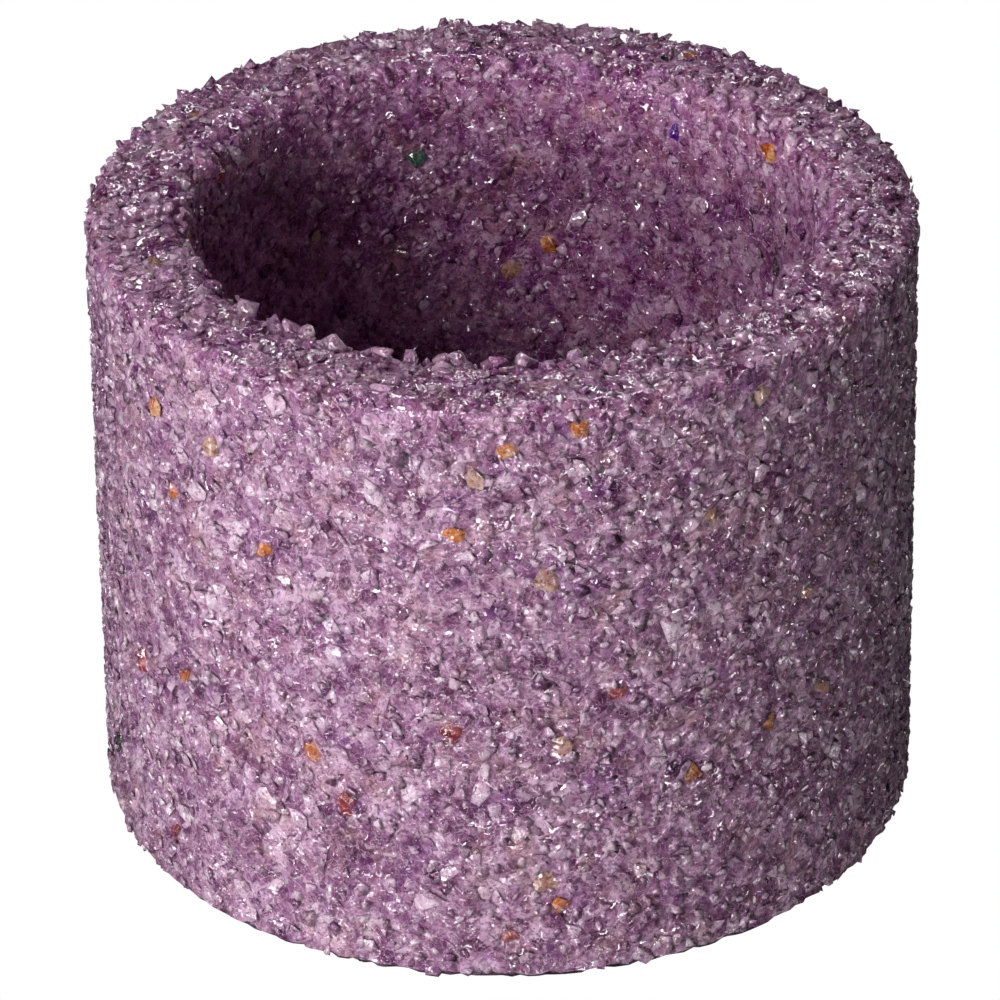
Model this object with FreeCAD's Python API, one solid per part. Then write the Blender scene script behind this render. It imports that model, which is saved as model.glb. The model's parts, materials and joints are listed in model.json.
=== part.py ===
import FreeCAD, Part
import itertools
import math
import os
import random

# A tealight cup moulded from crushed amethyst: a thick ring wall on a solid floor, both cast
# from stone granulate in clear resin, with coarser chips of several minerals standing on
# every face that shows. Millimetres, +Z up. The origin is the middle of the underside, the
# cup's axis is Z, and the front of the cup faces -Y.

os.makedirs("parts", exist_ok=True)
random.seed(53)
Vector = FreeCAD.Vector

# Driving dimensions
OUTER_DIAMETER = 80.0
HEIGHT = 63.0
WALL = 10.0
FLOOR = 9.0
SKIN = 1.3           # depth of the layer of chips on the outside, in the bore and on the floor
RIM_SKIN = 2.2       # the rim was never pressed flat, so its chips stand taller
RESIN_FILM = 0.03    # between a chip and the core that it is bonded to

# The core, which the chips stand on
OUTER_RADIUS = OUTER_DIAMETER / 2
BORE_RADIUS = OUTER_RADIUS - WALL
CORE_RADIUS = OUTER_RADIUS - SKIN
CORE_BORE_RADIUS = BORE_RADIUS + SKIN
CORE_TOP = HEIGHT - RIM_SKIN
CORE_FLOOR = FLOOR - SKIN

# Chips. A reach is the largest distance from a chip's middle to one of its corners.
COARSE_REACHES = (1.9, 1.5)
MEDIUM_REACHES = (1.5, 1.1)
FINE_REACHES = (1.1, 0.85)
CORNERS = (7, 8, 8, 9)
CELL = 2.2 * COARSE_REACHES[0]
MINERAL_SHARES = {
    "lilac_amethyst": 0.38,
    "pale_amethyst": 0.26,
    "deep_amethyst": 0.13,
    "clear_quartz": 0.13,
    "milky_quartz": 0.10,
}
RARE_SHARES = {
    "carnelian": 0.34,
    "red_jasper": 0.24,
    "ochre_agate": 0.30,
    "green_aventurine": 0.04,
    "black_tourmaline": 0.05,
    "violet_amethyst": 0.03,
}
RARE_CHANCE = 0.03   # of a chip that isn't one of the placed ones
FRONT_HALF = 80.0    # degrees each side of the front, where rare chips are placed one by one

# Chips that catch the eye: mineral, bearing from the front in degrees (positive to the right,
# seen from the front), height or radius in mm, and reach in mm.
OUTSIDE_ACCENTS = (
    ("carnelian", -56, 53.5, 1.3),
    ("carnelian", -53, 45, 1.4),
    ("carnelian", -35, 43.5, 1.2),
    ("carnelian", -28, 23, 1.4),
    ("carnelian", -7, 49, 1.5),
    ("carnelian", 0, 58, 1.5),
    ("carnelian", 7, 8, 1.3),
    ("carnelian", 10, 60, 1.1),
    ("carnelian", 26, 20.5, 1.2),
    ("carnelian", 39, 23, 1.2),
    ("carnelian", -51, 25.5, 1.1),
    ("red_jasper", -55, 6.5, 1.4),
    ("red_jasper", -63, 23, 1.4),
    ("red_jasper", -23, 18, 1.8),
    ("red_jasper", -8, 27.5, 1.3),
    ("red_jasper", 0, 5, 1.2),
    ("red_jasper", 15, 31, 1.3),
    ("ochre_agate", -44, 52.5, 1.4),
    ("ochre_agate", -4, 55, 1.6),
    ("ochre_agate", 5, 44, 1.8),
    ("ochre_agate", 5, 11, 1.7),
    ("ochre_agate", 7, 26, 1.3),
    ("ochre_agate", 29, 48, 1.3),
    ("ochre_agate", 37, 59, 1.5),
    ("ochre_agate", 46, 35.5, 1.3),
    ("ochre_agate", 49, 24, 1.3),
    ("black_tourmaline", -75, 9, 1.3),
    ("milky_quartz", -54, 28, 1.2),
    ("milky_quartz", -52, 9.5, 1.5),
    ("milky_quartz", -38, 29, 1.3),
    ("milky_quartz", -36, 16, 1.8),
    ("milky_quartz", -32, 60, 1.4),
    ("milky_quartz", -4, 21, 1.6),
    ("milky_quartz", 23, 37, 1.8),
    ("milky_quartz", 37, 51, 1.3),
    ("clear_quartz", -9, 24, 1.5),
)
RIM_ACCENTS = (
    ("carnelian", 149, 36.8, 1.5),
    ("red_jasper", 31, 33, 1.4),
    ("ochre_agate", -72, 34.7, 1.5),
    ("ochre_agate", -124, 36.3, 1.4),
    ("violet_amethyst", -176, 33.5, 1.2),
    ("milky_quartz", -30, 33.2, 1.6),
    ("milky_quartz", -2, 34, 1.5),
    ("clear_quartz", -36, 33, 1.6),
    ("clear_quartz", -14, 33, 1.5),
    ("clear_quartz", -9, 33.2, 1.7),
)
BORE_ACCENTS = (
    ("carnelian", 121, 59.5, 1.4),
    ("carnelian", 171, 42, 1.3),
    ("red_jasper", -116, 59.5, 1.5),
    ("ochre_agate", 178, 39, 1.4),
    ("ochre_agate", -143, 46, 1.2),
    ("green_aventurine", -164, 52.5, 1.3),
    ("black_tourmaline", 119, 47.5, 1.2),
    ("violet_amethyst", 146, 57, 1.3),
)


def angle_of(bearing):
    """The angle from +X, in radians, of a bearing from the front of the cup, in degrees."""
    return math.radians(bearing - 90)


def bearing_of(point):
    """The bearing of a point from the front of the cup, from -180 to 180 degrees."""
    bearing = math.degrees(math.atan2(point.y, point.x)) + 90
    return bearing - 360 if bearing > 180 else bearing


# Each face of the core turns (along, across, out) into a point: along and across lie in the
# face, and out is the height over it.


def on_outside(along, across, out):
    """On the outside of the wall: along is round the cup, across is up."""
    radius = CORE_RADIUS + out
    angle = along / CORE_RADIUS
    return Vector(radius * math.cos(angle), radius * math.sin(angle), across)


def on_bore(along, across, out):
    """On the wall of the bore: along is round the cup, across is up, and out is inwards."""
    radius = CORE_BORE_RADIUS - out
    angle = along / CORE_BORE_RADIUS
    return Vector(radius * math.cos(angle), radius * math.sin(angle), across)


def on_rim(along, across, out):
    """On the rim: along and across are X and Y."""
    return Vector(along, across, CORE_TOP + out)


def on_floor(along, across, out):
    """On the floor of the cup: along and across are X and Y."""
    return Vector(along, across, CORE_FLOOR + out)


def spot_outside(reach):
    """A random place on the outside for a chip of that reach."""
    along = random.uniform(0, 2 * math.pi * CORE_RADIUS)
    return along, random.uniform(reach, CORE_TOP + RIM_SKIN / 3 - reach)


def spot_in_bore(reach):
    """A random place on the wall of the bore."""
    along = random.uniform(0, 2 * math.pi * CORE_BORE_RADIUS)
    return along, random.uniform(FLOOR + reach, CORE_TOP + RIM_SKIN / 3 - reach)


def spot_in_ring(inner, outer):
    """A random place between two radii, evenly spread."""
    radius = math.sqrt(random.uniform(inner**2, outer**2))
    angle = random.uniform(0, 2 * math.pi)
    return radius * math.cos(angle), radius * math.sin(angle)


def spot_on_rim(reach):
    """A random place on the rim, clear of the chips on the outside and in the bore."""
    return spot_in_ring(CORE_BORE_RADIUS + reach, CORE_RADIUS - reach)


def spot_on_floor(reach):
    """A random place on the floor of the cup, clear of the chips in the bore."""
    return spot_in_ring(0, BORE_RADIUS - reach)


class Chip:
    """The shape of one chip: its corners, its triangles, and the plane of each triangle."""

    def __init__(self, points):
        self.points = points
        self.middle = sum(points, Vector()).multiply(1 / len(points))
        self.reach = max(self.middle.distanceToPoint(point) for point in points)
        self.triangles = []
        self.planes = []
        for a, b, c in itertools.combinations(range(len(points)), 3):
            self.try_triangle(a, b, c)

    def try_triangle(self, a, b, c):
        """Keeps the triangle if it is a face of the convex hull, wound to face outwards."""
        normal = (self.points[b] - self.points[a]).cross(self.points[c] - self.points[a])
        level = normal.dot(self.points[a])
        sides = [
            normal.dot(point) - level
            for i, point in enumerate(self.points)
            if i not in (a, b, c)
        ]
        if all(side < 0 for side in sides):
            self.triangles.append((a, b, c))
            self.planes.append((normal, level))
        elif all(side > 0 for side in sides):
            self.triangles.append((a, c, b))
            self.planes.append((normal * -1, -level))

    def is_clear_of(self, other):
        """Whether a face of either chip has the whole of the other one in front of it."""
        if self.middle.distanceToPoint(other.middle) > self.reach + other.reach:
            return True
        for one, two in ((self, other), (other, self)):
            for normal, level in one.planes:
                if min(normal.dot(point) for point in two.points) > level:
                    return True
        return False

    def solid(self):
        """The chip as a closed solid."""
        facets = []
        for a, b, c in self.triangles:
            outline = [self.points[i] for i in (a, b, c, a)]
            facets.append(Part.Face(Part.makePolygon(outline)))
        return Part.Solid(Part.Shell(facets))


class Crowd:
    """The chips placed so far, kept in cubic cells so that a neighbour is quick to find."""

    def __init__(self):
        self.cells = {}

    def cell_of(self, chip):
        return tuple(math.floor(value / CELL) for value in chip.middle)

    def has_room(self, chip):
        """Whether the chip meets none of the others."""
        home = self.cell_of(chip)
        for step in itertools.product((-1, 0, 1), repeat=3):
            cell = tuple(h + s for h, s in zip(home, step))
            for other in self.cells.get(cell, ()):
                if not chip.is_clear_of(other):
                    return False
        return True

    def add(self, chip):
        self.cells.setdefault(self.cell_of(chip), []).append(chip)


def scattered_corners(count):
    """Corners spread over a lopsided ball of radius 1, turned at random."""
    turn = FreeCAD.Rotation(*(random.uniform(0, 360) for _ in range(3)))
    golden_angle = math.pi * (3 - math.sqrt(5))
    squash = Vector(1.0, random.uniform(0.6, 0.95), random.uniform(0.5, 0.8))
    corners = []
    for i in range(count):
        height = 1 - 2 * (i + 0.5) / count
        ring = math.sqrt(1 - height**2)
        angle = i * golden_angle + random.uniform(-0.5, 0.5)
        size = random.uniform(0.78, 1.0)
        corner = Vector(ring * math.cos(angle), ring * math.sin(angle), height)
        corner = Vector(corner.x * squash.x, corner.y * squash.y, corner.z * squash.z)
        corners.append(turn.multVec(corner.multiply(size)))
    return corners


def chip_on(face, spot, reach, depth):
    """One angular chip that stands on a face of the core and is as tall as depth."""
    corners = scattered_corners(random.choice(CORNERS))
    low = min(corner.z for corner in corners)
    high = max(corner.z for corner in corners)
    widest = max(math.hypot(corner.x, corner.y) for corner in corners)
    points = []
    for corner in corners:
        out = RESIN_FILM + (depth - RESIN_FILM) * (corner.z - low) / (high - low)
        along = spot[0] + corner.x * reach / widest
        across = spot[1] + corner.y * reach / widest
        points.append(face(along, across, out))
    return Chip(points)


def pick(shares):
    """One of the names, as often as its share says."""
    return random.choices(list(shares), list(shares.values()))[0]


def chip_depth(layer, reach):
    """How tall a chip stands: at most the depth of its layer, and less if it is small."""
    return min(layer, 1.45 * reach) * random.uniform(0.85, 1.0)


def place(chips, crowd, zone, mineral, face, spot, reach, layer):
    """Adds a chip to its node, unless another chip is in the way."""
    chip = chip_on(face, spot, reach, chip_depth(layer, reach))
    if not crowd.has_room(chip):
        return False
    crowd.add(chip)
    node = f"{zone}_{mineral}_chips" if mineral in MINERAL_SHARES else f"{mineral}_chips"
    chips.setdefault(node, []).append(chip.solid())
    return True


def place_accents(chips, crowd):
    """The chips that are placed one by one."""
    for mineral, bearing, height, reach in OUTSIDE_ACCENTS:
        spot = (CORE_RADIUS * angle_of(bearing), height)
        place(chips, crowd, "outside", mineral, on_outside, spot, reach, SKIN)
    for mineral, bearing, radius, reach in RIM_ACCENTS:
        angle = angle_of(bearing)
        spot = (radius * math.cos(angle), radius * math.sin(angle))
        place(chips, crowd, "rim", mineral, on_rim, spot, reach, RIM_SKIN)
    for mineral, bearing, height, reach in BORE_ACCENTS:
        spot = (CORE_BORE_RADIUS * angle_of(bearing), height)
        place(chips, crowd, "bore", mineral, on_bore, spot, reach, SKIN)


def scatter(chips, crowd, zone, face, spot_for, layer, counts):
    """Fills a face of the core with chips, the coarse ones first."""
    for (largest, smallest), wanted in zip((COARSE_REACHES, MEDIUM_REACHES, FINE_REACHES), counts):
        placed = 0
        tries = 0
        while placed < wanted and tries < 6 * wanted:
            tries += 1
            reach = random.uniform(smallest, largest)
            spot = spot_for(reach)
            hidden = abs(bearing_of(face(*spot, 0))) > FRONT_HALF
            rare = hidden and random.random() < RARE_CHANCE
            mineral = pick(RARE_SHARES if rare else MINERAL_SHARES)
            placed += place(chips, crowd, zone, mineral, face, spot, reach, layer)
        print(zone, smallest, "to", largest, placed)


def core_wall():
    """The ring of fine granulate and resin, from the floor to the rim."""
    ring = Part.makeCylinder(CORE_RADIUS, CORE_TOP - CORE_FLOOR, Vector(0, 0, CORE_FLOOR))
    bore = Part.makeCylinder(CORE_BORE_RADIUS, CORE_TOP - CORE_FLOOR, Vector(0, 0, CORE_FLOOR))
    return ring.cut(bore)


def core_floor():
    """The disc of fine granulate and resin that the wall stands on."""
    return Part.makeCylinder(CORE_RADIUS, CORE_FLOOR)


def main():
    core_wall().exportStep("parts/core_wall.step")
    core_floor().exportStep("parts/core_floor.step")
    chips = {}
    crowd = Crowd()
    place_accents(chips, crowd)
    scatter(chips, crowd, "outside", on_outside, spot_outside, SKIN, (160, 620, 900))
    scatter(chips, crowd, "rim", on_rim, spot_on_rim, RIM_SKIN, (40, 120, 160))
    scatter(chips, crowd, "bore", on_bore, spot_in_bore, SKIN, (80, 340, 520))
    scatter(chips, crowd, "floor", on_floor, spot_on_floor, SKIN, (24, 90, 130))
    for node, solids in sorted(chips.items()):
        Part.makeCompound(solids).exportStep(f"parts/{node}.step")
        print(node, len(solids), "chips")


main()
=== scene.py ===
import json
import math

import bmesh
import bpy
import numpy as np
from mathutils import Matrix, Vector
from mathutils.kdtree import KDTree


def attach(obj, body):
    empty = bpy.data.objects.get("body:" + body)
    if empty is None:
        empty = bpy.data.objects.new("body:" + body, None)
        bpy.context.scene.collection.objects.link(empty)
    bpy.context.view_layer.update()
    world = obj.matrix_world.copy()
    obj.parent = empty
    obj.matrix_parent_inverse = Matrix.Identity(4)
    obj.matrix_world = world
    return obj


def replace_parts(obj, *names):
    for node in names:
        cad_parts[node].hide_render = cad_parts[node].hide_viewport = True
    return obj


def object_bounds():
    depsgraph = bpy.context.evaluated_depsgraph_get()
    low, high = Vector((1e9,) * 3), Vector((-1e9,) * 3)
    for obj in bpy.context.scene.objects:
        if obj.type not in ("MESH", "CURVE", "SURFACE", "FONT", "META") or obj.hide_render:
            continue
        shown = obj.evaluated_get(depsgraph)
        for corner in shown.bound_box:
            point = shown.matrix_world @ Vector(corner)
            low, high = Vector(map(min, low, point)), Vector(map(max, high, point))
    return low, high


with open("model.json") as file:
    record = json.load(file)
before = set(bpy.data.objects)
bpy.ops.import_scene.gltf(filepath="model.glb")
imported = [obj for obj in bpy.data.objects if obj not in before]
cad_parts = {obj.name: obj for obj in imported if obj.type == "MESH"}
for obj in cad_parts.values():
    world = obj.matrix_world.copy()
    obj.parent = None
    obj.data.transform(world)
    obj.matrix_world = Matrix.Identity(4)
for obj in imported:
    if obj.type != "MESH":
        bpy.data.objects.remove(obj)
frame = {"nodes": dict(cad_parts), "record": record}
cad_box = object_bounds()

# A tealight cup of crushed amethyst bonded in clear resin, in metres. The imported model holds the
# coarser chips. This script gives them their materials, lays a granulate bed behind them and adds the
# fine chips between them.

MM = 0.001
rng = np.random.default_rng(53)

# Sizes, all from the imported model
(LOW_X, LOW_Y, BASE), (HIGH_X, HIGH_Y, TOP) = cad_box
OUTER = (HIGH_X - LOW_X + HIGH_Y - LOW_Y) / 4
wall_corners = np.array([v.co for v in frame["nodes"]["core_wall"].data.vertices])
wall_radii = np.hypot(wall_corners[:, 0], wall_corners[:, 1])
CORE_OUTER = wall_radii.max()
CORE_BORE = wall_radii.min()
CORE_FLOOR = wall_corners[:, 2].min()
SKIN = OUTER - CORE_OUTER
BORE = CORE_BORE - SKIN
FLOOR = CORE_FLOOR + SKIN

# The fine chips' minerals and their shares
MINERALS = {
    "lilac_amethyst": 0.40,
    "pale_amethyst": 0.26,
    "deep_amethyst": 0.12,
    "clear_quartz": 0.13,
    "milky_quartz": 0.09,
}

# The fine chips of each zone, in mm: their pitch, the smallest and the largest radius, how far under
# the surface their tops may lie, and the share of their height that is left when they are flattened.
GRIT = {
    "outside": {"pitch": 1.5, "small": 0.85, "large": 1.7, "rough": 0.3, "flat": 0.55},
    "bore": {"pitch": 1.55, "small": 0.75, "large": 1.3, "rough": 0.35, "flat": 0.6},
    "rim": {"pitch": 1.4, "small": 0.9, "large": 1.8, "rough": 0.5, "flat": 0.75},
    "rim_edge": {"pitch": 1.5, "small": 1.0, "large": 1.9, "rough": 1.6, "flat": 1.0},
    "standing": {"small": 1.4, "large": 2.1, "rough": 0.1, "flat": 1.0},
    "floor": {"pitch": 1.5, "small": 0.7, "large": 1.2, "rough": 0.5, "flat": 0.7},
}

# The chips' shapes: how many there are, the least and the most points of an angular and of a rounder
# one, and the ranges of their points' distances from the middle, their widths and their thicknesses
SHAPES = 60
ANGULAR_POINTS = (7, 9)
ROUNDED_POINTS = (13, 18)
POINT_RADII = (0.8, 1.0)
WIDTHS = (0.6, 0.95)
THICKNESSES = (0.45, 0.8)

# Powers that make most chips small, and most of them lie near the surface
SMALL_CHIPS = 2.2
SHALLOW_CHIPS = 1.5

# How far chips stray from even rows, and the distance between rows, in pitches
JITTER = 0.45
ROW_GAP = 0.87

# How far the chips' places keep from the top edges, the base and the rim's outer edge, and the ring of
# rounder chips on the rim, from the bore
EDGE_GAP = 0.8 * MM
BASE_GAP = 0.9 * MM
RIM_MARGIN = 0.7 * MM
EDGE_RING = (0.5 * MM, 1.6 * MM)

# The tall glassy chips that the rim ends in: the ones on its inner edge at the front have a bearing
# each, in degrees to the right of the front, and the others are scattered. They are lifted over the
# top, and keep these distances from the bore and from the outside.
EDGE_BEARINGS = (-50, -39, -36, -30, -21, -16, -10, -8, -1, 3, 12, 24, 33)
STANDING_COUNT = 70
STANDING_LIFT = 0.6 * MM
STANDING_INSET = 1.2 * MM
STANDING_MARGIN = 1.5 * MM
STANDING_SHARES = {
    "clear_quartz": 0.35,
    "pale_amethyst": 0.35,
    "milky_quartz": 0.10,
    "lilac_amethyst": 0.20,
}

# The granulate bed behind the chips: the pitch, steps and jitter of its points, the pitch, spread and
# lean of its facets, how deep they are on the walls and on the rim, how far the bed lies under the
# surface, and the slopes at its edges
BED_PITCH = 0.9 * MM
WALL_STEPS = 300
FLOOR_STEPS = 90
BED_JITTER = 0.3
FACET_PITCH = 1.6 * MM
FACET_SPREAD = 0.2
FACET_LEAN = 0.22
BED_DEPTH = 0.3 * MM
RIM_DEPTH = 0.55 * MM
BED_SINK = 0.26 * MM
EDGE = 0.8 * MM
INNER_EDGE = 1.5 * MM
TOUCHING = 1e-7

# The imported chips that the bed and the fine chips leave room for, within what distance of a chip's
# middle, and how deep the bed is there
ACCENTS = (
    "carnelian",
    "red_jasper",
    "ochre_agate",
    "green_aventurine",
    "black_tourmaline",
    "violet_amethyst",
    "outside_milky_quartz",
    "outside_clear_quartz",
    "bore_milky_quartz",
)
ACCENT_ROOM = 1.35 * MM
ACCENT_HOLLOW = 0.55 * MM

# How much the tone of a stone owes to its chip, facet, grain, veils and clouds
CHIP_TONE = 0.85
FACET_TONE = 0.25
GRAIN_TONE = 0.25
VEIL_TONE = 0.6
CLOUD_TONE = 0.9

# Cells, waves, painted highlights and painted shade in the stones. Scales are per millimetre, a push is
# a scale and a reach, and a span is the values at which an effect starts and is full.
WARP = (1.1, 0.9)
CURL = (0.9, 2.4)
CHIP_CELLS = 0.33
FACET_CELLS = 1.3
GRAIN_CELLS = 2.6
VEIL_SCALE = 3.0
CLOUD_SCALE = 0.35
HUE_SCALE = 0.30
SWIRL_SCALE = 0.8
# Painted highlights: white borders on some facets, shell-like ripples and white specks stand in for glints
# off the cracks
CRACK_HIGHLIGHT_SPAN = (0.09, 0.0)
HIGHLIGHTED_FACETS = 0.45
HIGHLIGHT_RIPPLES = 40
RIPPLE_HIGHLIGHT_SPAN = (0.88, 1.0)
HIGHLIGHTED_VEILS = (0.50, 0.60)
HIGHLIGHT_SHARE = 0.42
PAINTED_GLINT_SIZE = 0.32
PAINTED_GLINT_SHARE = 0.06
# Painted shade: dark colour where the veils are thin and on some grains, for shaded hollows between the
# facets
SHADED_VEILS = (0.46, 0.34)
SHADED_GRAINS = 0.12
PAINTED_SHADE_SHARE = 0.6

# The facets' surface, their tilt, how far the cup's own face evens it, and the glints of the glassy coat
SURFACE = {
    "IOR": 1.54,
    "Specular IOR Level": 0.0,
    "Subsurface Weight": 0.5,
    "Subsurface Radius": (1.0, 1.0, 1.0),
    "Subsurface Scale": 1.0 * MM,
    "Coat Weight": 0.9,
    "Coat IOR": 2.0,
    "Coat Roughness": 0.04,
}
FACET_TILT = 0.7
TILT_CELLS = 1.9
EVENNESS = 0.75
RIM_EVENNESS = 0.55
GLINT_CELLS = 1.7
GLINT_TILT = 1.0
GLINT_RIPPLE = 1.3
RIPPLE_RATE = 25.0

# Where the cup's faces meet, in mm: the rim's face starts and is whole at these heights over the top,
# the floor's face ends this far from the bore, and the underside's is this thick.
RIM_SPAN = (-3.5, 0.8)
FLOOR_GAP = 1.2
UNDERSIDE = 1.2

# The saturation of the outside, the extra on the rim and in the bore as painted shade, and the colours
# mixed in
DEPTH_OF_COLOUR = 1.1
SHADED_RICHNESS = 0.28
PEACH = (0.62, 0.40, 0.36)
PEACH_SPAN = (0.54, 1.10)
VIOLET = (0.22, 0.08, 0.34)
VIOLET_SPAN = (0.44, -0.30)
# The painted highlight's colour, then the painted shade's colour
PAINTED_HIGHLIGHT = (0.92, 0.76, 0.87)
PAINTED_SHADE_DARK = (0.10, 0.03, 0.08)

# Each stone's dark, middle and light tone, how clear it is, and how rough
LOOKS = {
    "lilac_amethyst": ((0.18, 0.074, 0.15), (0.41, 0.230, 0.36), (0.68, 0.47, 0.62), 0.12, 0.12),
    "pale_amethyst": ((0.33, 0.170, 0.29), (0.55, 0.345, 0.49), (0.80, 0.59, 0.74), 0.15, 0.1),
    "deep_amethyst": ((0.09, 0.026, 0.075), (0.22, 0.092, 0.19), (0.40, 0.21, 0.35), 0.12, 0.12),
    "clear_quartz": ((0.40, 0.24, 0.36), (0.62, 0.42, 0.56), (0.90, 0.70, 0.84), 0.2, 0.05),
    "milky_quartz": ((0.48, 0.31, 0.43), (0.70, 0.50, 0.63), (0.94, 0.76, 0.88), 0.1, 0.2),
    "carnelian": ((0.40, 0.10, 0.04), (0.66, 0.25, 0.09), (0.82, 0.50, 0.28), 0.15, 0.2),
    "red_jasper": ((0.14, 0.02, 0.03), (0.30, 0.06, 0.06), (0.50, 0.20, 0.18), 0.05, 0.25),
    "ochre_agate": ((0.44, 0.24, 0.17), (0.64, 0.42, 0.32), (0.85, 0.67, 0.58), 0.2, 0.2),
    "green_aventurine": ((0.01, 0.08, 0.04), (0.02, 0.16, 0.08), (0.06, 0.28, 0.16), 0.2, 0.1),
    "black_tourmaline": ((0.005, 0.01, 0.01), (0.01, 0.02, 0.02), (0.03, 0.04, 0.04), 0.0, 0.12),
    "violet_amethyst": ((0.06, 0.018, 0.2), (0.12, 0.035, 0.34), (0.24, 0.106, 0.5), 0.3, 0.1),
}

# The granulate bed's tones, and how rough it is
GRANULATE_TONES = (
    (0.0, (0.11, 0.036, 0.09)),
    (0.35, (0.28, 0.135, 0.24)),
    (0.7, (0.43, 0.26, 0.38)),
    (1.0, (0.66, 0.47, 0.61)),
)
GRANULATE_ROUGH = 0.15

# The camera: its height over the horizon and its roll in degrees, how many diameters away it is, its
# lens in mm, and how far it aims right of the axis and up the cup
CAMERA_ELEVATION = 30.2
CAMERA_ROLL = -0.76
CAMERA_DISTANCE = 9.09
LENS = 267.6
AIM_RIGHT = -0.55 * MM
AIM_UP = 0.475

# The lamps: azimuth (0 is the camera's side and 90 is to its right), elevation, watts and colour
LAMP_SIZE = 0.28
LAMP_DISTANCE = 0.9
ROSE = (1.0, 0.97, 0.99)
NEUTRAL = (1.0, 1.0, 1.0)
LAMPS = {
    "front": (-5, 6, 3.2, ROSE),
    "front_left": (-32, 6, 2.0, ROSE),
    "left": (-60, 6, 2.3, ROSE),
    "upper_left": (-42, 33, 3.9, ROSE),
    "behind": (180, 50, 2.4, NEUTRAL),
    "right": (112, 8, 0.8, NEUTRAL),
}

# The glow from all round
ROOM_GLOW = (1.0, 0.85, 0.95)
ROOM_STRENGTH = 0.015

# Half the table's side, and how far under the cup it lies
TABLE_HALF = 3.0
TABLE_GAP = 0.05 * MM


def material(name):
    """A new material, with its nodes and its Principled shader."""
    made = bpy.data.materials.new(name)
    made.use_nodes = True
    nodes = made.node_tree.nodes
    return made, made.node_tree, nodes["Principled BSDF"]


def node(tree, kind, values=(), **settings):
    """A new node with some of its settings and input values."""
    made = tree.nodes.new(kind)
    for key, value in settings.items():
        setattr(made, key, value)
    for key, value in dict(values).items():
        made.inputs[key].default_value = value
    return made


def ramp(tree, value, stops):
    """The colour that a value has on a ramp of stops, each a place from 0 to 1 and a colour."""
    made = tree.nodes.new("ShaderNodeValToRGB")
    elements = made.color_ramp.elements
    while len(elements) < len(stops):
        elements.new(0.5)
    for element, (place, colour) in zip(elements, stops):
        element.position = place
        element.color = (*colour, 1)
    tree.links.new(value, made.inputs["Fac"])
    return made.outputs["Color"]


def arithmetic(tree, operation, first, second=None, third=None):
    """The output of a Math node. Each input is a number or another node's output."""
    made = node(tree, "ShaderNodeMath", operation=operation)
    for socket, value in zip(made.inputs, (first, second, third)):
        if value is None:
            continue
        if isinstance(value, (int, float)):
            socket.default_value = value
        else:
            tree.links.new(value, socket)
    return made.outputs[0]


def millimetres(tree):
    """Object coordinates in millimetres."""
    spots = node(tree, "ShaderNodeTexCoord")
    scaled = node(tree, "ShaderNodeVectorMath", {1: (1000, 1000, 1000)}, operation="MULTIPLY")
    tree.links.new(spots.outputs["Object"], scaled.inputs[0])
    return scaled.outputs[0]


def pushed(tree, vector, scale, reach):
    """A vector moved about by noise."""
    push = node(tree, "ShaderNodeTexNoise", {"Scale": scale, "Detail": 2})
    tree.links.new(vector, push.inputs["Vector"])
    moved = node(tree, "ShaderNodeVectorMath", {1: (reach, reach, reach)}, operation="MULTIPLY_ADD")
    tree.links.new(push.outputs["Color"], moved.inputs[0])
    tree.links.new(vector, moved.inputs[2])
    return moved.outputs[0]


def noise(tree, vector, scale, detail=2, roughness=0.5):
    """Noise from 0 to 1."""
    values = {"Scale": scale, "Detail": detail, "Roughness": roughness}
    made = node(tree, "ShaderNodeTexNoise", values)
    tree.links.new(vector, made.inputs["Vector"])
    return made.outputs["Fac"]


def cells(tree, vector, scale, feature="F1"):
    """A Voronoi node, for its outputs."""
    made = node(tree, "ShaderNodeTexVoronoi", {"Scale": scale}, feature=feature)
    tree.links.new(vector, made.inputs["Vector"])
    return made


def parts_of_colour(tree, colour):
    """The red, green and blue of a colour."""
    made = node(tree, "ShaderNodeSeparateColor")
    tree.links.new(colour, made.inputs["Color"])
    return made.outputs


def stretched(tree, value, span):
    """A value mapped so that the span's ends give 0 and 1, and kept between them."""
    low, high = span
    made = node(tree, "ShaderNodeMapRange", {1: low, 2: high, 3: 0.0, 4: 1.0})
    tree.links.new(value, made.inputs[0])
    return made.outputs[0]


def mixed(tree, amount, first, second):
    """A colour between a socket's and another that is three numbers."""
    made = node(tree, "ShaderNodeMix", {7: (*second, 1)}, data_type="RGBA")
    tree.links.new(amount, made.inputs[0])
    tree.links.new(first, made.inputs[6])
    return made.outputs[2]


def shown_to_camera(tree, seen, unseen, output):
    """Gives the camera one shader, and everything else the other."""
    path = node(tree, "ShaderNodeLightPath")
    mix = node(tree, "ShaderNodeMixShader")
    tree.links.new(path.outputs["Is Camera Ray"], mix.inputs[0])
    tree.links.new(unseen.outputs[0], mix.inputs[1])
    tree.links.new(seen.outputs[0], mix.inputs[2])
    tree.links.new(mix.outputs[0], tree.nodes[output].inputs["Surface"])


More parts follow.
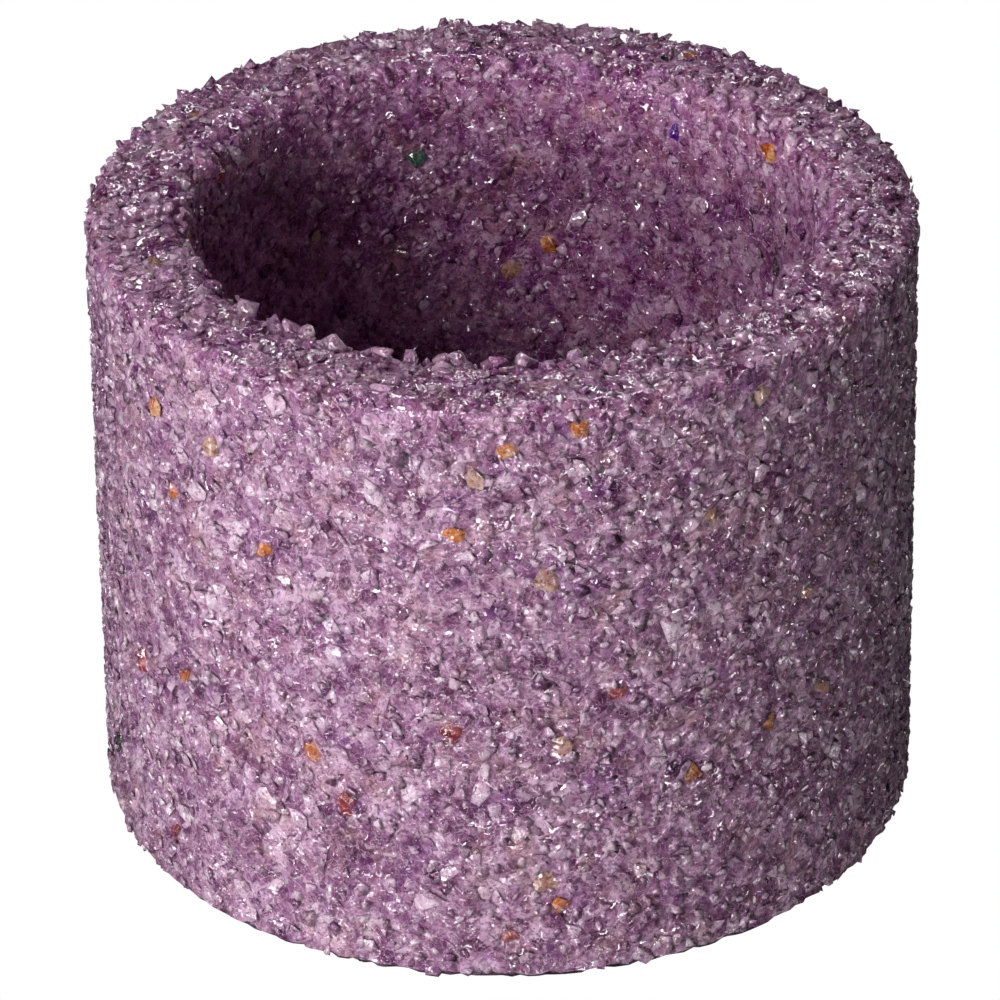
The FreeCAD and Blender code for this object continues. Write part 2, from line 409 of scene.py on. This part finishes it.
def outwards(tree, spots):
    """The way that the cup's face looks at a place, and 1 on the rim and in the bore, 0 outside."""
    link = tree.links.new
    split = node(tree, "ShaderNodeSeparateXYZ")
    link(spots, split.inputs[0])
    flat = node(tree, "ShaderNodeVectorMath", {1: (1, 1, 0)}, operation="MULTIPLY")
    link(spots, flat.inputs[0])
    length = node(tree, "ShaderNodeVectorMath", operation="LENGTH")
    link(flat.outputs[0], length.inputs[0])
    radius = length.outputs["Value"]
    middle = (OUTER + BORE) / 2 / MM
    side = arithmetic(tree, "SIGN", arithmetic(tree, "SUBTRACT", radius, middle))
    wall_way = node(tree, "ShaderNodeVectorMath", operation="MULTIPLY")
    link(flat.outputs[0], wall_way.inputs[0])
    link(arithmetic(tree, "DIVIDE", side, radius), wall_way.inputs[1])
    on_top = stretched(tree, split.outputs["Z"], [TOP / MM + over for over in RIM_SPAN])
    on_floor = arithmetic(tree, "LESS_THAN", radius, BORE / MM - FLOOR_GAP)
    facing_up = arithmetic(tree, "MAXIMUM", on_top, on_floor)
    way = node(tree, "ShaderNodeMix", {5: (0, 0, 1)}, data_type="VECTOR")
    link(facing_up, way.inputs[0])
    link(wall_way.outputs[0], way.inputs[4])
    surface = node(tree, "ShaderNodeSeparateXYZ")
    link(node(tree, "ShaderNodeNewGeometry").outputs["Normal"], surface.inputs[0])
    low = arithmetic(tree, "LESS_THAN", split.outputs["Z"], BASE / MM + UNDERSIDE)
    down = arithmetic(tree, "LESS_THAN", surface.outputs["Z"], -0.5)
    whole = node(tree, "ShaderNodeMix", {5: (0, 0, -1)}, data_type="VECTOR")
    link(arithmetic(tree, "MULTIPLY", low, down), whole.inputs[0])
    link(way.outputs[1], whole.inputs[4])
    inside = arithmetic(tree, "LESS_THAN", radius, middle)
    return whole.outputs[1], arithmetic(tree, "MAXIMUM", facing_up, inside)


def evened(tree, bare, way, rim_and_bore):
    """The surface's normal drawn towards the cup's own face, as light inside clear stones evens them."""
    share = arithmetic(tree, "MULTIPLY_ADD", rim_and_bore, RIM_EVENNESS - EVENNESS, EVENNESS)
    blend = node(tree, "ShaderNodeMix", data_type="VECTOR")
    tree.links.new(share, blend.inputs[0])
    tree.links.new(bare, blend.inputs[4])
    tree.links.new(way, blend.inputs[5])
    return blend.outputs[1]


def glints(tree, normal, vector, scale, tilt, ripple=0.0):
    """A normal tilted at random in small patches, and rippled along the tilt, as broken facets are."""
    link = tree.links.new
    patches = cells(tree, vector, scale)
    centred = node(tree, "ShaderNodeVectorMath", {1: (0.5, 0.5, 0.5)}, operation="SUBTRACT")
    link(patches.outputs["Color"], centred.inputs[0])
    along = node(tree, "ShaderNodeVectorMath", operation="DOT_PRODUCT")
    link(centred.outputs[0], along.inputs[0])
    link(vector, along.inputs[1])
    wave = arithmetic(tree, "SINE", arithmetic(tree, "MULTIPLY", along.outputs["Value"], RIPPLE_RATE))
    leaning = node(tree, "ShaderNodeVectorMath", operation="MULTIPLY_ADD")
    link(centred.outputs[0], leaning.inputs[0])
    link(arithmetic(tree, "MULTIPLY_ADD", wave, ripple, tilt), leaning.inputs[1])
    link(normal, leaning.inputs[2])
    unit = node(tree, "ShaderNodeVectorMath", operation="NORMALIZE")
    link(leaning.outputs[0], unit.inputs[0])
    return unit.outputs[0]


def summed_tone(tree, shares):
    """The sum of some values from 0 to 1, each times its share, with its middle at 0.5."""
    total = 0.0
    for value, share in shares:
        total = arithmetic(tree, "MULTIPLY_ADD", value, share, total)
    middle = sum(share for value, share in shares) / 2 - 0.5
    return arithmetic(tree, "SUBTRACT", total, middle)


def hued(tree, colour, warped):
    """A colour with patches that lean to peach and to violet."""
    hue = noise(tree, warped, HUE_SCALE)
    peach = mixed(tree, stretched(tree, hue, PEACH_SPAN), colour, PEACH)
    return mixed(tree, stretched(tree, hue, VIOLET_SPAN), peach, VIOLET)


def with_painted_highlights(tree, colour, plain, warped, veil, facet_light, grain_light, grain_distance):
    """A colour with painted highlights: white borders on some facets, shell-like ripples and white specks
    that stand in for glints.
    """
    border = cells(tree, warped, FACET_CELLS, "DISTANCE_TO_EDGE")
    crack_highlight = stretched(tree, border.outputs["Distance"], CRACK_HIGHLIGHT_SPAN)
    some = arithmetic(tree, "GREATER_THAN", facet_light, 1 - HIGHLIGHTED_FACETS)
    crack_highlight = arithmetic(tree, "MULTIPLY", crack_highlight, some)
    swirl = noise(tree, plain, SWIRL_SCALE, 1)
    ripple = arithmetic(tree, "SINE", arithmetic(tree, "MULTIPLY", swirl, HIGHLIGHT_RIPPLES))
    ripple = stretched(tree, ripple, RIPPLE_HIGHLIGHT_SPAN)
    ripple = arithmetic(tree, "MULTIPLY", ripple, stretched(tree, veil, HIGHLIGHTED_VEILS))
    near = arithmetic(tree, "LESS_THAN", grain_distance, PAINTED_GLINT_SIZE)
    painted_glints = arithmetic(tree, "MULTIPLY", near, arithmetic(tree, "GREATER_THAN", grain_light, 1 - PAINTED_GLINT_SHARE))
    white = arithmetic(tree, "MULTIPLY", arithmetic(tree, "MAXIMUM", crack_highlight, ripple), HIGHLIGHT_SHARE)
    return mixed(tree, arithmetic(tree, "MAXIMUM", white, painted_glints), colour, PAINTED_HIGHLIGHT)


def with_painted_shade(tree, colour, veil, grain_light):
    """A colour with painted shade, dark where the veils are thin and on some grains, standing in for
    shaded hollows between the facets.
    """
    shade = arithmetic(tree, "LESS_THAN", grain_light, SHADED_GRAINS)
    shade_amount = arithmetic(tree, "MAXIMUM", stretched(tree, veil, SHADED_VEILS), shade)
    return mixed(tree, arithmetic(tree, "MULTIPLY", shade_amount, PAINTED_SHADE_SHARE), colour, PAINTED_SHADE_DARK)


def deepened(tree, colour, rim_and_bore):
    """A deeper colour, and still deeper on the rim and in the bore as painted shade for how light falls
    there.
    """
    richer = node(tree, "ShaderNodeHueSaturation")
    depth = arithmetic(tree, "MULTIPLY_ADD", rim_and_bore, SHADED_RICHNESS, DEPTH_OF_COLOUR)
    tree.links.new(depth, richer.inputs["Saturation"])
    tree.links.new(colour, richer.inputs["Color"])
    return richer.outputs[0]


def chip_number(tree, plain, from_mesh):
    """A number from 0 to 1 for each chip: its mesh's own, or one for its place."""
    if from_mesh:
        return node(tree, "ShaderNodeAttribute", attribute_name="chip").outputs["Fac"]
    return parts_of_colour(tree, cells(tree, plain, CHIP_CELLS).outputs["Color"])[0]


def stone(name, stops, clear, rough, from_mesh=True):
    """A crushed mineral: one tone a chip, veils and painted highlights of cracks inside it, painted shade,
    and facets that glint.
    """
    made, tree, shader = material(name)
    plain = millimetres(tree)
    warped = pushed(tree, plain, *WARP)
    curled = pushed(tree, plain, *CURL)
    facets = cells(tree, warped, FACET_CELLS)
    facet_tone, facet_light = parts_of_colour(tree, facets.outputs["Color"])[:2]
    grains = cells(tree, curled, GRAIN_CELLS)
    grain_tone, grain_light = parts_of_colour(tree, grains.outputs["Color"])[:2]
    veil = noise(tree, warped, VEIL_SCALE, 5, 0.65)
    shares = (
        (chip_number(tree, plain, from_mesh), CHIP_TONE),
        (facet_tone, FACET_TONE),
        (grain_tone, GRAIN_TONE),
        (veil, VEIL_TONE),
        (noise(tree, warped, CLOUD_SCALE), CLOUD_TONE),
    )
    way, rim_and_bore = outwards(tree, plain)
    colour = ramp(tree, summed_tone(tree, shares), stops)
    colour = hued(tree, colour, warped)
    distance = grains.outputs["Distance"]
    # Painted highlights along the cracks, and white specks as painted glints
    colour = with_painted_highlights(tree, colour, plain, warped, veil, facet_light, grain_light, distance)
    # Painted shade for the hollows between the facets
    colour = with_painted_shade(tree, colour, veil, grain_light)
    # Deeper colour on the rim and in the bore, painted as shade
    tree.links.new(deepened(tree, colour, rim_and_bore), shader.inputs["Base Color"])

    bare = node(tree, "ShaderNodeNewGeometry").outputs["Normal"]
    facing = glints(tree, evened(tree, bare, way, rim_and_bore), warped, TILT_CELLS, FACET_TILT)
    tree.links.new(facing, shader.inputs["Normal"])
    glassy = glints(tree, bare, curled, GLINT_CELLS, GLINT_TILT, GLINT_RIPPLE)
    tree.links.new(glassy, shader.inputs["Coat Normal"])
    shader.inputs["Transmission Weight"].default_value = clear
    shader.inputs["Roughness"].default_value = rough
    for socket, value in SURFACE.items():
        shader.inputs[socket].default_value = value
    return made


def mineral_stone(mineral, suffix="", from_mesh=True):
    """A mineral's material, from its tones."""
    dark, middle, light, clear, rough = LOOKS[mineral]
    stops = ((0.0, dark), (0.5, middle), (1.0, light))
    return stone(mineral + suffix, stops, clear, rough, from_mesh)


def chip_shapes(fewest, most):
    """Angular closed shapes of about radius 1: (corners, triangles) of convex hulls."""
    shapes = []
    for _ in range(SHAPES):
        points = rng.normal(size=(rng.integers(fewest, most + 1), 3))
        points /= np.linalg.norm(points, axis=1)[:, None]
        points *= rng.uniform(*POINT_RADII, (len(points), 1))
        points *= (1.0, rng.uniform(*WIDTHS), rng.uniform(*THICKNESSES))
        hull = bmesh.new()
        for point in points:
            hull.verts.new(point)
        bmesh.ops.convex_hull(hull, input=hull.verts)
        bmesh.ops.triangulate(hull, faces=hull.faces)
        loose = [corner for corner in hull.verts if not corner.link_faces]
        bmesh.ops.delete(hull, geom=loose, context="VERTS")
        hull.verts.index_update()
        corners = np.array([corner.co for corner in hull.verts])
        triangles = np.array([[corner.index for corner in face.verts] for face in hull.faces])
        hull.free()
        shapes.append((corners, triangles))
    return shapes


def turns(count):
    """Random rotation matrices, evenly spread."""
    q = rng.normal(size=(count, 4))
    q /= np.linalg.norm(q, axis=1)[:, None]
    w, x, y, z = q.T
    rows = (
        (1 - 2 * (y * y + z * z), 2 * (x * y - z * w), 2 * (x * z + y * w)),
        (2 * (x * y + z * w), 1 - 2 * (x * x + z * z), 2 * (y * z - x * w)),
        (2 * (x * z - y * w), 2 * (y * z + x * w), 1 - 2 * (x * x + y * y)),
    )
    return np.stack([np.stack(row, 1) for row in rows], 1)


def mesh_object(name, corners, triangles, chip_values):
    """One mesh object, with a number from 0 to 1 for the chip of each corner."""
    mesh = bpy.data.meshes.new(name)
    mesh.from_pydata(corners.tolist(), [], triangles.tolist())
    values = mesh.attributes.new("chip", "FLOAT", "POINT")
    values.data.foreach_set("value", chip_values)
    mesh.shade_smooth()
    mesh.update()
    made = bpy.data.objects.new(name, mesh)
    bpy.context.scene.collection.objects.link(made)
    return made


def grit(name, places, normals, sizes, rough, flat, shapes):
    """Chips whose highest corners lie up to rough under each place, along its normal."""
    count = len(places)
    which = rng.integers(0, len(shapes), count)
    spins = turns(count)
    sink = rng.uniform(0, 1, count) ** SHALLOW_CHIPS * rough
    all_corners, all_triangles, all_values = [], [], []
    start = 0
    for i in range(count):
        corners, triangles = shapes[which[i]]
        placed = corners @ spins[i].T * sizes[i]
        out = placed @ normals[i]
        placed = placed - np.outer(out, normals[i]) * (1 - flat)
        out = placed @ normals[i]
        placed = placed + places[i] - normals[i] * (out.max() + sink[i])
        placed[:, 2] += max(0.0, BASE - placed[:, 2].min())
        all_corners.append(placed)
        all_triangles.append(triangles + start)
        all_values.append(np.full(len(corners), rng.uniform()))
        start += len(corners)
    return mesh_object(
        name, np.concatenate(all_corners), np.concatenate(all_triangles), np.concatenate(all_values)
    )


def jittered(width, height, pitch):
    """Places on a flat sheet, about a pitch apart, in uneven rows."""
    across = max(1, round(width / pitch))
    up = max(1, round(height / (pitch * ROW_GAP)))
    u, v = np.meshgrid(np.arange(across), np.arange(up))
    u = (u + 0.5 * (v % 2) + rng.uniform(-JITTER, JITTER, u.shape)) * width / across
    v = (v + 0.5 + rng.uniform(-JITTER, JITTER, v.shape)) * height / up
    return u.ravel(), v.ravel()


def around(radius, low, high, pitch, inwards=False):
    """Places and normals on a cylinder about the axis."""
    u, v = jittered(2 * math.pi * radius, high - low, pitch)
    angle = u / radius
    normals = np.stack([np.cos(angle), np.sin(angle), np.zeros_like(angle)], 1)
    places = normals * radius
    places[:, 2] = low + v
    return places, -normals if inwards else normals


def across_ring(inner, outer, z, pitch):
    """Places and upward normals on a flat ring about the axis."""
    u, v = jittered(2 * outer, 2 * outer, pitch)
    x, y = u - outer, v - outer
    radius = np.hypot(x, y)
    keep = (radius > inner) & (radius < outer)
    places = np.stack([x[keep], y[keep], np.full(keep.sum(), z)], 1)
    return places, upward(places)


def upward(places):
    """An upward normal for each place."""
    return np.tile((0.0, 0.0, 1.0), (len(places), 1))


def sizes_for(count, small, large):
    """Chip radii, most of them small."""
    return small + (large - small) * rng.uniform(size=count) ** SMALL_CHIPS


def sown(zone, places, normals, shapes, shares=MINERALS):
    """The fine chips of one zone: a piece for each mineral."""
    grain = GRIT[zone]
    clear = ~near_accents(places)
    places, normals = places[clear], normals[clear]
    names = list(shares)
    which = rng.choice(len(names), len(places), p=np.array(list(shares.values())))
    for i, mineral in enumerate(names):
        chosen = which == i
        if not chosen.any():
            continue
        sizes = sizes_for(chosen.sum(), grain["small"] * MM, grain["large"] * MM)
        name = f"{zone}_{mineral}_grit"
        rough = grain["rough"] * MM
        piece = grit(name, places[chosen], normals[chosen], sizes, rough, grain["flat"], shapes)
        piece.data.materials.append(stones[mineral])
        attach(piece, "root")


def section_points(corners, pitch):
    """Points about a pitch apart along a closed outline of (radius, z) corners, with its normals."""
    points, normals = [], []
    for (r0, z0), (r1, z1) in zip(corners, corners[1:] + corners[:1]):
        length = math.hypot(r1 - r0, z1 - z0)
        steps = max(1, round(length / pitch))
        for k in range(steps):
            t = k / steps
            points.append((r0 + (r1 - r0) * t, z0 + (z1 - z0) * t))
            normals.append(((z1 - z0) / length, -(r1 - r0) / length))
    normals = np.array(normals)
    blended = normals + np.roll(normals, 1, 0)
    return np.array(points), blended / np.linalg.norm(blended, axis=1)[:, None]


def chip_middles(name):
    """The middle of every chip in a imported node."""
    mesh = bmesh.new()
    mesh.from_mesh(frame["nodes"][name].data)
    bmesh.ops.remove_doubles(mesh, verts=mesh.verts, dist=TOUCHING)
    left = set(mesh.verts)
    middles = []
    while left:
        chip, edge = set(), [left.pop()]
        while edge:
            corner = edge.pop()
            chip.add(corner)
            near = {e.other_vert(corner) for e in corner.link_edges} & left
            left -= near
            edge.extend(near)
        middles.append(sum((corner.co for corner in chip), Vector()) / len(chip))
    mesh.free()
    return middles


def search_tree(points):
    """A tree that finds the point nearest to a place."""
    tree = KDTree(len(points))
    for number, point in enumerate(points):
        tree.insert(point, number)
    tree.balance()
    return tree


def near_accents(places):
    """Whether each place is beside one of the accent chips."""
    return np.array([accents.find(place)[2] < ACCENT_ROOM for place in places])


def cobbled(places, depth):
    """Depths of a surface of tilted facets, and a number from 0 to 1 for the facet of each place."""
    share = min(1.0, (BED_PITCH / FACET_PITCH) ** 2)
    seeds = places[rng.random(len(places)) < share]
    seeds = seeds + rng.normal(scale=FACET_PITCH * FACET_SPREAD, size=seeds.shape)
    tree = search_tree(seeds)
    nearest = np.array([tree.find(place)[1] for place in places])
    leans = rng.normal(scale=FACET_LEAN, size=(len(seeds), 3))
    drops = rng.uniform(0, 1, len(seeds))
    offset = places - seeds[nearest]
    drop = drops[nearest] * depth + (offset * leans[nearest]).sum(1)
    return np.clip(drop, 0, depth), rng.random(len(seeds))[nearest]


def weld(mesh):
    """Joins the points that lie together, as on the axis, and drops what has no face left."""
    welded = bmesh.new()
    welded.from_mesh(mesh)
    bmesh.ops.remove_doubles(welded, verts=welded.verts, dist=TOUCHING)
    loose = [edge for edge in welded.edges if not edge.link_faces]
    bmesh.ops.delete(welded, geom=loose, context="EDGES")
    loose = [corner for corner in welded.verts if not corner.link_faces]
    bmesh.ops.delete(welded, geom=loose, context="VERTS")
    welded.to_mesh(mesh)
    welded.free()


def ring_triangles(rows, steps):
    """The triangles between rows of points turned about the axis, with odd rows half a step on."""
    i, k = np.meshgrid(np.arange(rows), np.arange(steps), indexing="ij")
    j, m = (i + 1) % rows, (k + 1) % steps
    a, b, c, d = i * steps + k, i * steps + m, j * steps + m, j * steps + k
    odd = (i % 2 == 1)[..., None]
    first = np.where(odd, np.stack([a, b, c], 2), np.stack([a, b, d], 2)).reshape(-1, 3)
    second = np.where(odd, np.stack([a, c, d], 2), np.stack([b, c, d], 2)).reshape(-1, 3)
    return np.concatenate([first, second])


def bed(name, corners, steps):
    """A closed body turned about the axis, with a surface of small tilted facets."""
    section, facing = section_points(corners, BED_PITCH)
    rows = len(section)
    turn = 2 * math.pi / steps
    angles = turn * (np.arange(steps)[None, :] + 0.5 * (np.arange(rows)[:, None] % 2))
    angles = angles + rng.uniform(-BED_JITTER, BED_JITTER, angles.shape) * turn
    radius = np.repeat(section[:, :1], steps, 1)
    across = np.stack([np.cos(angles), np.sin(angles), np.zeros_like(angles)], 2)
    places = across * radius[..., None]
    places[..., 2] = section[:, 1:]
    normals = across * facing[:, None, :1]
    normals[..., 2] = facing[:, None, 1]
    places, normals = places.reshape(-1, 3), normals.reshape(-1, 3)
    depth = BED_DEPTH + (RIM_DEPTH - BED_DEPTH) * np.clip(normals[:, 2], 0, 1)
    drop, tone = cobbled(places, depth)
    drop = np.where(near_accents(places), ACCENT_HOLLOW, drop)
    drop[radius.ravel() == 0] = 0
    places = places - normals * drop[:, None]
    made = mesh_object(name, places, ring_triangles(rows, steps), tone)
    weld(made.data)
    made.data.materials.append(core)
    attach(made, "root")
    return made


def granulate_wall():
    """The bed of the wall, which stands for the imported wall."""
    high, low, floor = TOP - BED_SINK, BASE, FLOOR - BED_SINK
    out, bore = OUTER - BED_SINK, BORE + BED_SINK
    section = [
        (CORE_BORE, low),
        (out - EDGE, low),
        (out, low + EDGE),
        (out, high - EDGE),
        (out - EDGE, high),
        (bore + INNER_EDGE, high),
        (bore, high - INNER_EDGE),
        (bore, floor),
        (CORE_BORE, floor - MM),
    ]
    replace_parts(bed("granulate_wall", section, WALL_STEPS), "core_wall")


def granulate_floor():
    """The bed of the floor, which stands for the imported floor."""
    floor = FLOOR - BED_SINK
    section = [(0, BASE), (CORE_BORE, BASE), (CORE_BORE, floor - MM), (0, floor)]
    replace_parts(bed("granulate_floor", section, FLOOR_STEPS), "core_floor")


def wall_grit():
    """The fine chips of the outside and of the bore."""
    high = TOP - EDGE_GAP
    places, normals = around(OUTER, BASE + BASE_GAP, high, GRIT["outside"]["pitch"] * MM)
    sown("outside", places, normals, angular)
    places, normals = around(BORE, FLOOR, high, GRIT["bore"]["pitch"] * MM, inwards=True)
    sown("bore", places, normals, angular)


def rim_grit():
    """The fine chips of the rim, and the rounder ones of its inner edge."""
    inner, outer = EDGE_RING
    pitch = GRIT["rim"]["pitch"] * MM
    places, normals = across_ring(BORE + outer, OUTER - RIM_MARGIN, TOP, pitch)
    sown("rim", places, normals, angular)
    pitch = GRIT["rim_edge"]["pitch"] * MM
    places, normals = across_ring(BORE + inner, BORE + outer, TOP, pitch)
    sown("rim_edge", places, normals, rounded)


def standing_grit():
    """The tall glassy chips that the rim ends in."""
    placed = len(EDGE_BEARINGS)
    scattered = rng.uniform(-math.pi, math.pi, STANDING_COUNT)
    bearings = np.concatenate([np.radians(EDGE_BEARINGS), scattered])
    radii = np.full(len(bearings), BORE + STANDING_INSET)
    radii[placed:] = rng.uniform(BORE + STANDING_INSET, OUTER - STANDING_MARGIN, STANDING_COUNT)
    lifts = np.full(len(bearings), STANDING_LIFT)
    lifts[placed:] *= rng.uniform(0, 1, STANDING_COUNT)
    places = np.stack([radii * np.sin(bearings), -radii * np.cos(bearings), TOP + lifts], 1)
    sown("standing", places, upward(places), rounded, STANDING_SHARES)


def floor_grit():
    """The fine chips of the bore's floor."""
    places, normals = across_ring(0, BORE, FLOOR, GRIT["floor"]["pitch"] * MM)
    sown("floor", places, normals, angular)


def coat_packed_nodes():
    """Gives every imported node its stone, or the granulate."""
    slots = {subpart["node"]: subpart["material_slot"] for subpart in frame["record"]["subparts"]}
    coarse = {mineral: mineral_stone(mineral, "_coarse", from_mesh=False) for mineral in LOOKS}
    for name, body in frame["nodes"].items():
        for held in body.material_slots:
            held.link = "OBJECT"
            held.material = coarse.get(slots[name], core)


def stage():
    """The pale surface that the cup stands on. It lights only the camera."""
    mesh = bpy.data.meshes.new("table")
    half = TABLE_HALF
    corners = [(-half, -half, 0), (half, -half, 0), (half, half, 0), (-half, half, 0)]
    mesh.from_pydata(corners, [], [(0, 1, 2, 3)])
    table = bpy.data.objects.new("table", mesh)
    bpy.context.scene.collection.objects.link(table)
    table.location.z = BASE - TABLE_GAP
    made, tree, shader = material("table")
    shader.inputs["Base Color"].default_value = (0.05, 0.05, 0.05, 1)
    shader.inputs["Roughness"].default_value = 0.9
    glow = node(tree, "ShaderNodeEmission", {"Color": (1, 1, 1, 1), "Strength": 1.0})
    shown_to_camera(tree, glow, shader, "Material Output")
    mesh.materials.append(made)


def camera():
    """The photograph's viewing angle: 30 degrees down, from far away with a long lens."""
    elevation = math.radians(CAMERA_ELEVATION)
    distance = CAMERA_DISTANCE * 2 * OUTER
    aim = Vector((AIM_RIGHT, 0, BASE + AIM_UP * (TOP - BASE)))
    data = bpy.data.cameras.new("camera")
    data.sensor_width = 36
    data.lens = LENS
    data.clip_start = 0.01
    eye = bpy.data.objects.new("camera", data)
    bpy.context.scene.collection.objects.link(eye)
    back = Vector((0, -math.cos(elevation), math.sin(elevation)))
    turn = (-back).to_track_quat("-Z", "Y").to_matrix().to_4x4()
    roll = Matrix.Rotation(math.radians(CAMERA_ROLL), 4, "Z")
    eye.matrix_world = Matrix.Translation(aim + back * distance) @ turn @ roll
    bpy.context.scene.camera = eye


def studio_light(name, azimuth, elevation, watts, colour):
    """A square soft lamp that faces the cup."""
    bearing, up = math.radians(azimuth), math.radians(elevation)
    level = math.cos(up)
    towards = Vector((math.sin(bearing) * level, -math.cos(bearing) * level, math.sin(up)))
    data = bpy.data.lights.new(name, "AREA")
    data.shape = "SQUARE"
    data.size = LAMP_SIZE
    data.energy = watts
    data.color = colour
    lamp = bpy.data.objects.new(name, data)
    lamp.location = towards * LAMP_DISTANCE + Vector((0, 0, (BASE + TOP) / 2))
    lamp.rotation_euler = (-towards).to_track_quat("-Z", "Y").to_euler()
    bpy.context.scene.collection.objects.link(lamp)


def room():
    """A faint rosy glow from all round, with a white backdrop for the camera."""
    world = bpy.data.worlds.new("world")
    world.use_nodes = True
    tree = world.node_tree
    glow = tree.nodes["Background"]
    glow.inputs["Color"].default_value = (*ROOM_GLOW, 1)
    glow.inputs["Strength"].default_value = ROOM_STRENGTH
    backdrop = node(tree, "ShaderNodeBackground", {"Color": (1, 1, 1, 1), "Strength": 1.0})
    shown_to_camera(tree, backdrop, glow, "World Output")
    bpy.context.scene.world = world
    bpy.context.scene.view_settings.view_transform = "Standard"


stones = {mineral: mineral_stone(mineral) for mineral in MINERALS}
core = stone("bonded_granulate", GRANULATE_TONES, 0.0, GRANULATE_ROUGH)
coat_packed_nodes()

accents = search_tree([middle for mineral in ACCENTS for middle in chip_middles(mineral + "_chips")])
angular = chip_shapes(*ANGULAR_POINTS)
rounded = chip_shapes(*ROUNDED_POINTS)
granulate_wall()
granulate_floor()
wall_grit()
rim_grit()
standing_grit()
floor_grit()

stage()
camera()
for name, settings in LAMPS.items():
    studio_light(name, *settings)
room()
